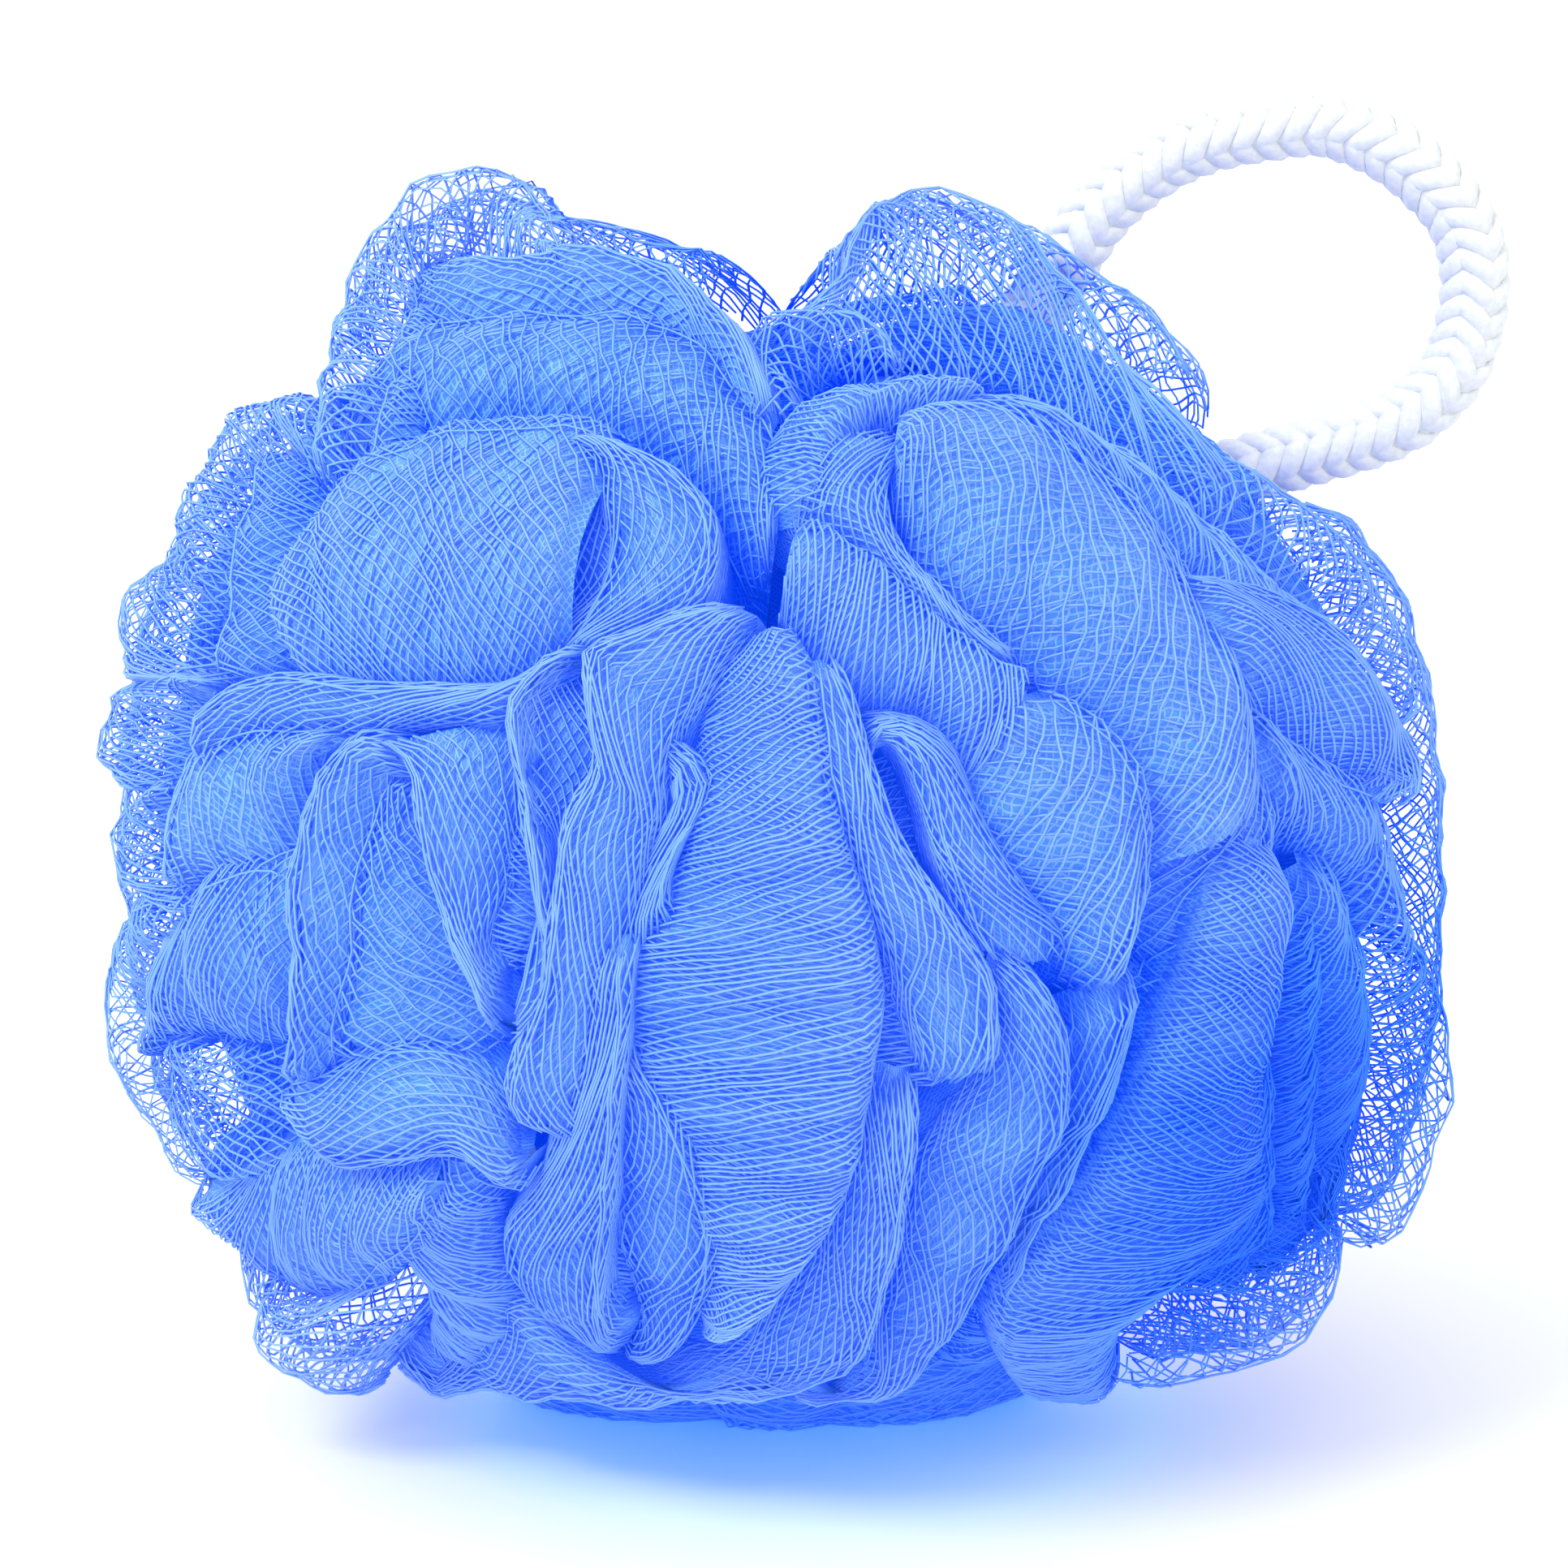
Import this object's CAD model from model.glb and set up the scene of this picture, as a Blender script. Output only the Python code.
"""Looks of the mesh bath pouf: strands of netting on every fold, and a braided cord.

Metres, +Z up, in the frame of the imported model. Azimuth 0 faces the front (-Y) and turns
towards +X. Elevation 90 is straight up. A share of 1 is a point on the ball itself.
"""
import math

import bpy
import numpy as np
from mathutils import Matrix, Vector


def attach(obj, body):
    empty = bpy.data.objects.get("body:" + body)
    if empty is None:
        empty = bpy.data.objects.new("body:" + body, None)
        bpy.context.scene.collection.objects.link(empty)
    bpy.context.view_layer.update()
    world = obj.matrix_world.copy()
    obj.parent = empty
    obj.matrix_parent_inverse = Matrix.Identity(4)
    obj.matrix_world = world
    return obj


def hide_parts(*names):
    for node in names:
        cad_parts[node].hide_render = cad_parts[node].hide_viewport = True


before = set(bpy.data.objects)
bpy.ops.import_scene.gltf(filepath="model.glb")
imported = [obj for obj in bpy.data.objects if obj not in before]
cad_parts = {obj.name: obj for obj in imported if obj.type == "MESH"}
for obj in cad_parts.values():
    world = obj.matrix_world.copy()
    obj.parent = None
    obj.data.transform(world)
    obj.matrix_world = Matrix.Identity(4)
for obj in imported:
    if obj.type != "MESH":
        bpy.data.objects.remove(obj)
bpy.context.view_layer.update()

MM = 0.001
SEED = 7
PHASE_RANGE = (0, 6.3)

# The ball of netting, as in the CAD, moved so that its box is centred over the origin
BALL_RADII = np.array((0.062, 0.057, 0.057))
CENTRE_SHIFT = np.array((-0.00002, 0.00233, 0.0))
BALL_CENTRE = np.array((0.0, 0.0, 0.058)) + CENTRE_SHIFT

CAMERA_DISTANCE = 0.4066
CAMERA_RISE = math.radians(10)
CAMERA_AIM = Vector((0.0012, 0.0023, 0.0594))
KEY_LIGHT_PLACE = (-0.45, -0.50, 0.70)

# Strands of the netting (m), and how they wander across (mm) and how often along them (per mm)
STRAND_RADIUS = 0.00011
STRAND_HALF_WIDTH = 0.00015
STRAND_STEP = 0.0017
STRAND_LAYER = 0.00014
STRAND_SHIFT = 0.18
STRAY_PACE = (0.7, 1.1)
BUNCH = 0.45
BUNCH_PACE = (0.5, 0.9)
BUNCH_DRIFT = 0.25
HEM_SPACING = 0.32
HEM_WANDER = 0.16
HEM_PACE = 0.6

# How a sheet turns inwards past its edges and ends
EDGE_SAMPLES = 160
WALL_DEPTH = 0.0060
TUCK_DEPTH = 0.0030
TUCK_DOWN = 0.8
TUCK_INWARDS = 0.4
END_TUCK = 0.0020
END_SHARE = 0.07
LOWEST_SHARE = 0.60

# Waves on each sheet: ranges of their length and height (mm), and the most that they lean
WAVES = (((4, 6), (0.10, 0.22), 0.4), ((8, 13), (0.20, 0.40), 0.3), ((1.8, 2.6), (0.03, 0.08), 0.6))

# Netting less than so many times its thickness above the floor is pressed on it, to a share
PRESSED_REACH = 4
PRESSED_SHARE = 0.3

# The next layer of netting reaches farther in than the strands
LAYER_STEP = 0.0022
LAYER_PAST_WALL = 0.004
LAYER_PAST_TUCK = 0.003
LAYER_THICKNESS = 0.0005

# The dense middle of the gathered netting, its folds, and the dimple at the gather behind
MIDDLE_SHARE = 0.86
MIDDLE_LATTICE = 1.2
WIDE_FOLDS = (0.02, 17, 3)
NARROW_FOLDS = (0.01, 31, 9)
GATHER_DIMPLE = 0.07
GATHER_REACH = 0.35

# The cord, as in the CAD
CORD_DIAMETER = 0.0066
STUB_LENGTH = 0.0100
TOUCH_GAP = 0.0003
CORD_ROUTE = ((2, 5, 74), (11, 7, 85), (20, 8, 96), (26.5, 8, 106), (30.5, 8.5, 112), (35, 9, 116),
              (40, 9, 118.6), (47, 9.5, 120), (52, 10, 120.2), (57.5, 10, 118), (62, 10, 114.5),
              (65, 10, 110.5), (66, 10, 105.5), (65.5, 10, 101), (64, 9.5, 97), (60, 9, 93),
              (55.5, 9, 91), (50, 8.5, 89.5), (43, 8, 87.5), (31, 8, 84), (19, 7, 77.5), (10, 5, 70))

# Its braid: six bundles of yarn wind each way, over two and under two. A bundle's rise and fall
# is a sine, made steeper and cut off at a low and a high end.
BRAID_BUNDLES = 6
BRAID_PITCH = 0.0142
BRAID_STEP = 0.00055
BUNDLE_HALF_WIDTH = 0.00108
BUNDLE_HALF_HEIGHT = 0.00070
BUNDLE_SIDES = 8
BUNDLE_LIFT = 0.00024
LIFT_STEEPNESS = 1.8
LIFT_ENDS = (-1.6, 1)

# The netting's blues, from deep inside to the outer folds: of the strands, of the next
# layer's lattice, and of what shows between its lines
BLUE_SHARES = (0.80, 1.20)
BLUE_STOPS = (0.0, 0.28, 0.5, 1.0)
STRAND_BLUES = ((0.0, 0.10, 0.95), (0.05, 0.24, 1.0), (0.16, 0.34, 1.0), (0.23, 0.39, 1.0))
LATTICE_BLUES = ((0.01, 0.14, 1.0), (0.04, 0.22, 1.0), (0.16, 0.36, 1.0), (0.24, 0.41, 1.0))
BETWEEN_BLUES = ((0.0, 0.04, 0.66), (0.0, 0.10, 0.88), (0.04, 0.21, 0.98), (0.09, 0.28, 1.0))
PATCH_SCALE = 55
PATCH_DEPTH = 0.08

# It is deeper low down at the right, between these x and z (m)
SHADE_RIGHTWARDS = (0.012, 0.040)
SHADE_DOWNWARDS = (0.066, 0.040)
SHADE_DEPTH = -0.20

# The light that the thin blue plastic passes on, from strand to strand and to the floor. There
# it fills an ellipse (axis, radius and centre) and fades between two shares of the radius.
PASSED_LIGHT = {"Emission Color": (0.0, 0.16, 1.0, 1), "Emission Strength": 0.16}
GLOW_LIGHT = (0.04, 0.24, 1.0, 1)
GLOW_POWER = 0.70
GLOW_ELLIPSE = (("X", 0.044, 0.004), ("Y", 0.046, -0.002))
GLOW_FADE = (1.16, 0.72)

# The next layer's lattice in colour: how its lines stray, and where across them they end
LATTICE_NOISE = {"X": 330, "Y": 420}
LATTICE_STRAY = 1.6
LATTICE_LINES = 1.7
LATTICE_FADE = (0.11, 0.21)

# How the netting lies on a sheet: space between strands (mm), their slant from straight across
# the sheet (degrees), how far they stray from straight (mm), the radius of the sheet's high
# edge (mm), the strands that bunch along it, and the depth of the next layer (mm, 0 for none)
STYLES = {
    "ribbon": (0.72, 72, 0.12, 0.9, 2, 0.40),
    "satin": (0.58, 64, 0.10, 1.2, 1, 0.30),
    "drawn": (0.64, 19, 0.12, 1.8, 0, 0.45),
    "loose": (0.78, 33, 0.20, 2.2, 1, 0.45),
    "open": (0.98, 43, 0.30, 1.8, 1, 0.60),
    "veil": (1.20, 35, 0.28, 1.6, 2, 0),
    "back": (1.30, 26, 0.22, 2.2, 1, 0.6),
}

# The outline of the ball seen from the front: angle round the ball from +X towards +Z
# (degrees), and the share of the ball's radius that it reaches there
OUTLINE = ((-180, 0.95), (-150, 1.0), (-130, 1.03), (-90, 0.98), (-45, 1.03), (-25, 1.0),
           (-5, 0.90), (15, 0.92), (40, 0.83), (55, 0.84), (70, 0.88), (80, 0.80), (90, 0.66),
           (98, 0.72), (112, 0.88), (130, 0.93), (180, 0.95))

# Back sheets fan out from the gather behind, as in the CAD but a little wider
BACK_SHEETS = 20
BACK_BULGE = 2.5
BACK_GATHER_ELEVATION = 24
BACK_START = 4
BACK_END_LOW = 98
BACK_END_HIGH = 74
BACK_BENDS = ((10, 4), (24, -7), (-8, 9), (16, 6), (-12, -8), (4, 10), (20, 2))
BACK_SHIFTS = (0, 5, -4, 3, -6)
BACK_LIFTS = (0.0, 0.02, -0.02, 0.01)
BACK_SINGLE_SHEETS = (18, 19)
BACK_LOW_TURN = 1.65
BACK_LOW_DROP = 0.105
BACK_PROFILE = ((0.0, 0.84), (0.2, 0.95), (0.45, 1.01), (0.75, 1.0), (1.0, 0.95))

# The piece of netting that a sheet belongs to, by where its middle lies from the ball's
LEFT_OF = -0.002
BACK_FROM = 0.010
UPPER_FROM = 0.020
MIDDLE_FROM = -0.010
UNDER_TO = -0.040

# Each sheet: its style, how far it bulges (mm), and its high and low edge. An edge is the share
# of its points, then their azimuth, elevation and, where it differs, their own share. The sheet
# spans the two edges and turns inwards past both.
SHEETS = {
    "top_left_arch": ("veil", 2,
     (1, (-49.5, 35.5), (-58.5, 42.5), (-89.5, 53.5, 1.04), (-89.5, 60.5, 1.11), (-91, 67, 1.11),
      (-93, 70, 1.05), (-55, 68), (-40, 63)),
     (0.97, (-46, 36), (-51.5, 44.5), (-72.5, 55.5), (-91, 60, 1.02), (-91.5, 63.5, 1.03),
      (-92.5, 64.5, 0.985), (-65, 65.5), (-46.5, 64.5))),
    "top_left_inner": ("loose", 1,
     (0.97, (-91.5, 63.5, 1.03), (-91.5, 59.5, 1), (-65.5, 54.5), (-53, 47.5), (-47.5, 41), (-46, 36)),
     (0.93, (-94, 66.5, 0.943), (-93, 62.5, 0.947), (-69, 58), (-51.5, 50), (-46.5, 43), (-44, 37.5))),
    "upper_left_rim": ("ribbon", 3,
     (0.97, (-91.5, 60, 0.993), (-64.5, 65), (-40.5, 68), (-26, 66), (-14.5, 62.5), (-6, 57), (-2, 52.5),
      (1.5, 46)),
     (0.94, (-68, 54.5), (-54.5, 57.5), (-38.5, 59.5), (-27, 60), (-17.5, 59), (-10, 55.5), (-5.5, 51),
      (-0.5, 43.5))),
    "upper_left_face": ("open", 3,
     (0.955, (-59, 48), (-61, 55), (-45, 58), (-32, 58.5), (-19.5, 58), (-10.5, 54.5), (-3.5, 48), (1, 41),
      (1, 34.5)),
     (0.91, (-58.5, 35.5), (-55, 40.5), (-47, 43.5), (-37.5, 46), (-27.5, 46), (-17.5, 44), (-9, 40),
      (-5, 35), (0, 29.5))),
    "left_dome": ("loose", 5,
     (0.985, (-46, 27.5), (-47.5, 32), (-46.5, 36.5), (-41.5, 39.5), (-35, 41.5), (-27.5, 42.5),
      (-21.5, 42.5), (-15.5, 41)),
     (0.985, (-42, 17.5), (-40.5, 17.5), (-36, 17.5), (-31.5, 18), (-27, 18.5), (-22.5, 19.5), (-19.5, 21),
      (-17, 22.5))),
    "dome_band": ("ribbon", 1,
     (1.01, (-21, 41.5), (-15.5, 40.5), (-10, 38), (-6.5, 35), (-5.5, 32), (-5.5, 28.5), (-6.5, 26),
      (-10, 24), (-14, 22)),
     (0.99, (-22.5, 41), (-18, 39), (-15.5, 35.5), (-14, 32), (-14, 29), (-14.5, 26.5), (-15.5, 24.5),
      (-16.5, 23), (-18, 21.5))),
    "left_arch": ("veil", 2,
     (1, (-66, 23.5), (-73.5, 28.5), (-79, 32), (-87, 36), (-82.5, 40), (-70, 42.5), (-60, 42),
      (-53.5, 40)),
     (0.97, (-60.5, 23.5), (-65, 28.5), (-70, 32.5), (-74.5, 36), (-69.5, 37.5), (-64.5, 39), (-60, 39),
      (-55.5, 37))),
    "left_arch_inner": ("loose", 1,
     (0.975, (-69, 38.5), (-64.5, 34.5), (-61, 29.5), (-57.5, 25), (-55.5, 20), (-54, 16)),
     (0.93, (-63, 40), (-56, 35), (-51.5, 30), (-49, 25.5), (-47, 21), (-46.5, 18))),
    "left_edge_1": ("veil", 2,
     (1, (-69.5, 26.5), (-78.5, 23.5), (-84.5, 19.5, 1.01), (-84.5, 16.5), (-72, 14.5), (-63.5, 15)),
     (0.96, (-61.5, 26.5), (-62.5, 24), (-63, 21), (-62, 19), (-60, 17), (-55.5, 16))),
    "left_edge_2": ("veil", 2,
     (1, (-53, 16.5), (-61, 16), (-69, 14), (-77, 10.5), (-83, 6.5), (-72.5, 5.5), (-62, 5.5)),
     (0.96, (-54.5, 15.5), (-57.5, 14.5), (-60, 12.5), (-61, 10.5), (-61.5, 9), (-62, 7), (-63.5, 5))),
    "left_edge_3": ("veil", 2,
     (1, (-57.5, 7), (-63, 4.5), (-68, 2), (-69.5, -0.5), (-66.5, -3), (-60.5, -4), (-54.5, -4)),
     (0.96, (-56.5, 6.5), (-59, 4), (-60, 1.5), (-59.5, -0.5), (-58, -2), (-55.5, -3), (-52.5, -4))),
    "left_edge_4": ("veil", 2,
     (1, (-53.5, -2.5), (-63, -5), (-79.5, -12), (-78.5, -14.5, 1.03), (-77.5, -18, 1.05),
      (-76, -22.5, 1.06), (-75, -27, 1.06), (-73.5, -31, 1.06), (-72.5, -33.5, 1.05)),
     (0.96, (-50.5, -4.5), (-57, -7.5), (-63.5, -12), (-71.5, -17), (-77, -22, 0.975), (-75.5, -26, 0.986),
      (-74.5, -30, 0.992), (-73, -33, 1), (-72, -35.5, 1.01))),
    "left_side_face": ("loose", 3,
     (0.99, (-39.5, 1), (-46.5, 0.5), (-53, -2.5), (-58, -6.5), (-62.5, -11.5), (-66.5, -16),
      (-68, -19.5)),
     (0.95, (-45, -16), (-47.5, -16), (-51.5, -16.5), (-55.5, -17), (-59.5, -17.5), (-66, -19.5),
      (-77, -23, 0.965))),
    "left_low_face": ("veil", 2,
     (0.995, (-65, -18), (-76, -24, 0.999), (-75, -27, 1.02), (-73.5, -30.5, 1.04), (-72.5, -33.5, 1.05)),
     (0.935, (-47, -16.5), (-49, -20.5), (-50.5, -24.5), (-52.5, -29), (-55, -32.5))),
    "left_band_top": ("ribbon", 1,
     (1.02, (-15.5, 22), (-18.5, 20), (-22, 18.5), (-27, 18), (-33.5, 17.5), (-40, 17.5), (-46.5, 16.5),
      (-51, 14), (-53, 10)),
     (0.995, (-20, 16.5), (-23, 16), (-27, 15.5), (-32, 14.5), (-37, 13.5), (-42.5, 13), (-47.5, 12.5),
      (-50.5, 10.5), (-52, 7.5))),
    "left_band_face": ("open", 3,
     (1, (-35, 14), (-39.5, 13.5), (-44, 13), (-49.5, 11.5), (-53.5, 9.5), (-55.5, 6), (-56, 2.5),
      (-56, -1.5)),
     (0.955, (-38, 12.5), (-40, 8.5), (-41, 4.5), (-42, 1), (-43.5, 0), (-46.5, -0.5), (-50.5, -1),
      (-55.5, -2.5))),
    "ruffle_left": ("ribbon", 2,
     (1.02, (-29, 13.5, 1.01), (-32.5, 13.5), (-35.5, 11.5), (-37, 8), (-38.5, 3.5), (-39, -1),
      (-39, -5.5), (-40, -10.5), (-43.5, -17.5, 1.01)),
     (0.985, (-28, 10.5), (-31, 11), (-32.5, 8), (-33.5, 4.5), (-34, 0.5), (-35, -4), (-36.5, -8.5),
      (-38.5, -13), (-40.5, -18))),
    "ruffle_fill": ("open", 1,
     (0.985, (-29, 11), (-31.5, 9.5), (-33, 4.5), (-34, 0), (-35, -5.5), (-37, -10.5), (-38.5, -16)),
     (0.955, (-29, 10.5), (-27.5, 5), (-26.5, 0), (-25.5, -3.5), (-24.5, -7), (-23.5, -10.5),
      (-24.5, -14.5))),
    "ruffle_right": ("ribbon", 1,
     (1.03, (-31.5, 13.5, 1.04), (-29, 13), (-27, 10.5), (-26, 7, 1.04), (-25, 2.5), (-24, -1.5),
      (-22.5, -4.5), (-21.5, -7.5), (-20, -10)),
     (0.995, (-20, 16.5), (-20, 14), (-20.5, 10.5), (-20.5, 7), (-21, 4), (-21.5, 0.5), (-22, -2.5),
      (-21, -5), (-20, -7))),
    "loop_right": ("ribbon", 0.5,
     (1.04, (-20, -10), (-18, -8, 1.03), (-16.5, -5, 1.03), (-16, -2), (-16.5, 2), (-17, 5.5),
      (-18, 8.5, 1.03), (-18.5, 12.5), (-19.5, 16), (-19, 18.5, 1.03), (-17.5, 20.5), (-14.5, 22, 1.03)),
     (1.01, (-19.5, -7), (-18.5, -5), (-18, -2.5), (-17.5, 1), (-18, 4.5), (-18.5, 8.5), (-18.5, 11.5),
      (-18.5, 14), (-19, 16), (-18.5, 18), (-17, 20), (-15, 21))),
    "loop_inside": ("drawn", 0,
     (0.98, (-19.5, 8), (-20.5, 5), (-21.5, 1.5), (-22, -2), (-22, -6)),
     (0.965, (-19, 7), (-18.5, 4.5), (-18.5, 1), (-18.5, -2), (-19.5, -6))),
    "hook_inner": ("satin", -1.5,
     (1.02, (-17, 21.5), (-18.5, 20), (-19, 17), (-19, 13), (-18, 9.5), (-17.5, 6), (-16.5, 3.5)),
     (0.985, (-15.5, 22), (-14, 19), (-13.5, 15.5), (-13.5, 12), (-14.5, 9.5), (-15.5, 7.5),
      (-16.5, 3.5))),
    "hook_right": ("ribbon", 1,
     (1.05, (-1.5, 25.5), (-4.5, 25), (-7.5, 24, 1.04), (-10.5, 22.5), (-13.5, 21.5), (-13.5, 19),
      (-13, 15, 1.04), (-12.5, 12, 1.04), (-14, 9, 1.04), (-14.5, 6.5), (-15, 2.5), (-15.5, -1.5),
      (-16.5, -6.5, 1.04), (-18.5, -11, 1.04), (-19.5, -14.5), (-18.5, -17.5), (-16.5, -18)),
     (1.01, (-0.5, 25), (-2, 23.5), (-4, 21), (-5.5, 19), (-7.5, 16.5), (-8, 14.5), (-8.5, 11.5),
      (-8.5, 9), (-9.5, 6.5), (-10, 4), (-10.5, 0.5), (-11, -3), (-11.5, -7), (-12, -11.5), (-12.5, -14),
      (-13, -17.5), (-13.5, -20.5))),
    "small_curl": ("ribbon", 0.5,
     (1, (-8.5, 14.5), (-6.5, 13.5), (-5, 11.5), (-5.5, 9), (-7, 6), (-8, 3), (-8, 1), (-7, -1)),
     (0.985, (-8.5, 11.5), (-7, 10.5), (-7.5, 9), (-9, 6), (-10, 3.5), (-11, 0), (-11, -2.5),
      (-11, -5.5))),
    "petal": ("drawn", 0.5,
     (1.06, (0, 24), (1.5, 20.5, 1.07), (2.5, 16.5), (3, 12.5, 1.07), (3.5, 8, 1.07), (4.5, 4.5),
      (5.5, 1, 1.07), (6, -2.5, 1.07), (6.5, -6), (6, -10.5, 1.07), (5.5, -16), (5, -20.5), (3.5, -26),
      (1, -31), (-2, -36.5, 1.07), (-6.5, -40.5)),
     (1, (-2.5, 23.5, 0.985), (-4, 20, 0.985), (-5, 16, 0.985), (-5, 12, 0.985), (-6, 6.5, 0.985),
      (-7.5, 3, 0.985), (-9.5, -1, 0.99), (-11, -6), (-10, -12), (-8, -18), (-6.5, -24), (-6, -30.5),
      (-6, -36.5), (-8, -43.5))),
    "loop_low_right": ("ribbon", 1,
     (1.01, (-11.5, -10), (-9.5, -14), (-7.5, -18.5), (-6, -24.5), (-5.5, -30.5), (-7, -37), (-10.5, -44),
      (-15.5, -48.5), (-19.5, -49.5)),
     (0.98, (-12.5, -11.5), (-12.5, -17), (-13, -22.5), (-13.5, -29), (-14, -35), (-14, -40), (-14, -42.5),
      (-16, -46), (-18.5, -47.5))),
    "loop_low_left": ("ribbon", 1,
     (1.04, (-10.5, -1), (-11, -6.5, 1.03), (-11.5, -12.5), (-12.5, -18.5), (-13.5, -24.5, 1.03),
      (-15, -30, 1.03), (-16, -36), (-16, -40), (-14, -42, 1.03)),
     (1, (-14.5, -2), (-15, -8), (-16, -14), (-17.5, -19), (-20, -24.5), (-25, -31.5), (-26.5, -37.5),
      (-23.5, -44), (-20, -51.5))),
    "loop_low_inside": ("drawn", 0,
     (0.985, (-13.5, -20), (-15, -28), (-17, -35), (-18.5, -41.5), (-17.5, -46)),
     (0.965, (-13.5, -23.5), (-13.5, -30), (-14, -36.5), (-14.5, -41.5), (-15.5, -46))),
    "left_fan": ("ribbon", 2,
     (1.02, (-43.5, -18.5), (-42, -21.5), (-40, -24.5), (-34, -23, 1.03), (-28.5, -21.5),
      (-24.5, -21.5, 1.03), (-23, -23, 1.03), (-21, -23.5, 1.03), (-19.5, -21.5)),
     (0.99, (-46, -19), (-41, -17.5), (-36.5, -15.5), (-32, -13.5), (-28, -13.5), (-25, -15), (-23, -17),
      (-21.5, -19.5), (-20.5, -21.5))),
    "low_left_wing": ("loose", 3,
     (1.03, (-73, -33, 1.05), (-71.5, -35, 1.07), (-70, -38.5, 1.07), (-68.5, -42, 1.06),
      (-66.5, -46, 1.05), (-49.5, -41), (-39.5, -35), (-33.5, -31), (-28.5, -25.5)),
     (0.985, (-72.5, -34.5, 1), (-63, -32.5), (-53.5, -29.5), (-47.5, -27.5), (-42.5, -26.5),
      (-37.5, -25.5), (-34, -25), (-31.5, -24), (-29.5, -23.5))),
    "low_left_dome": ("veil", 3,
     (1.09, (-66.5, -42.5, 1.04), (-67.5, -43), (-66.5, -44, 1.14), (-64.5, -46, 1.17), (-63, -48.5, 1.17),
      (-61.5, -50, 1.16), (-60.5, -52, 1.13), (-59.5, -53.5)),
     (0.98, (-66, -47, 1.01), (-51, -42.5), (-41.5, -38.5), (-40, -39.5), (-43, -45), (-60.5, -54, 1),
      (-60.5, -53.5, 1.05), (-59.5, -53.5, 1.09))),
    "low_left_stair": ("drawn", 1.5,
     (1.01, (-28, -22.5, 1), (-31, -27), (-35.5, -32.5), (-37.5, -37), (-39, -42, 1), (-46, -49.5),
      (-57.5, -56, 1.04), (-58.5, -54.5, 1.1)),
     (0.98, (-25.5, -24), (-25.5, -27.5), (-27, -32.5), (-28.5, -37), (-29, -42), (-32, -49),
      (-51.5, -61.5, 0.99), (-53, -59.5, 1.05))),
    "bottom_ruffle": ("ribbon", 1,
     (1.05, (-59.5, -53, 1.1), (-56.5, -56.5, 1.08), (-41, -55.5), (-28, -53.5), (-18, -52.5), (-7, -50),
      (3, -48), (8, -45), (9.5, -38.5), (10, -31.5), (10.5, -23.5), (10.5, -17.5), (10.5, -12.5)),
     (0.995, (-59.5, -54, 1.08), (-58, -56, 1), (-31, -43.5), (-24.5, -45), (-21, -53), (-11, -52),
      (-3, -47.5), (2, -40.5), (4.5, -33.5), (6, -27), (6.5, -21), (7, -17), (7, -12))),
    "bottom_ruffle_right": ("ribbon", 1.5,
     (1.04, (1, -50.5), (7.5, -52.5, 1.03), (13.5, -51.5), (17, -46.5), (19, -38.5, 1.03),
      (20.5, -30.5, 1.03), (22, -22.5, 1.03), (23, -16.5), (22, -10.5), (20, -6), (17, -2.5, 1.03)),
     (1, (4.5, -54), (11, -51.5), (12.5, -43.5), (13, -35), (13, -28), (13.5, -21.5), (15.5, -18),
      (17.5, -14.5), (17.5, -11), (17, -7.5), (16, -4.5))),
    "cut_strip": ("ribbon", 0.5,
     (1.06, (4, 21.5), (5.5, 18), (6.5, 14, 1.05), (7.5, 10.5, 1.05), (9, 6.5, 1.05), (11, 3), (13.5, -1),
      (15.5, -4.5), (16, -8.5), (16, -13)),
     (1.04, (1.5, 20.5), (2.5, 17), (3.5, 13), (5, 9), (6.5, 5.5), (8, 1.5), (9.5, -2.5, 1.03),
      (10.5, -6.5, 1.03), (12, -10.5, 1.03), (12.5, -14, 1.03))),
    "strip_behind": ("drawn", 0,
     (1, (2.5, 17), (4, 12), (5.5, 8), (7.5, 4), (9, 0), (10.5, -5), (12, -10), (12.5, -15.5)),
     (0.98, (2.5, 16), (3.5, 11), (4.5, 7), (6, 3), (7, -1), (7.5, -5.5), (7.5, -10.5), (7, -15.5))),
    "curl_right": ("ribbon", 1,
     (1.03, (7, 13), (8.5, 15.5), (10, 15), (11.5, 12.5), (12.5, 9), (13, 5.5), (14, 2.5), (15.5, -1),
      (17, -3.5)),
     (1.01, (6, 16.5, 1), (9, 17, 1), (12, 16), (14, 13.5), (15.5, 9.5), (17, 6), (19, 2.5), (22, -1),
      (23.5, -4.5))),
    "curl_hollow": ("drawn", -1,
     (0.96, (7.5, 14), (8.5, 10.5), (9.5, 7), (11, 3.5), (13, 0)),
     (0.945, (11, 16), (12.5, 12.5), (13.5, 9), (14, 5.5), (15, 1))),
    "long_ruffle": ("drawn", 2,
     (1.05, (2, 31.5), (4, 31), (7, 28.5), (10.5, 25.5), (14, 22), (17, 19.5), (20.5, 18)),
     (0.975, (1, 27), (2.5, 22), (5.5, 18), (9, 17), (12, 16.5), (14.5, 13.5), (16.5, 9.5))),
    "long_ruffle_low": ("open", 3,
     (1.04, (20.5, 18), (23.5, 16), (26.5, 12.5), (28, 8.5, 1.05), (28, 5, 1.05), (27.5, 1, 1.05),
      (26.5, -4)),
     (0.985, (14.5, 16), (15.5, 11), (17, 6.5), (18.5, 3), (21, 0.5), (23, -3.5), (25.5, -8))),
    "dome_flank": ("satin", 2,
     (1.02, (14.5, 42), (11, 39), (9.5, 35), (10.5, 31), (13, 27.5), (16, 24), (20, 20.5)),
     (0.975, (3, 42), (2, 37.5), (3, 34), (7, 31), (10.5, 27.5), (14, 23.5), (19, 20))),
    "right_dome": ("open", 5,
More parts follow.
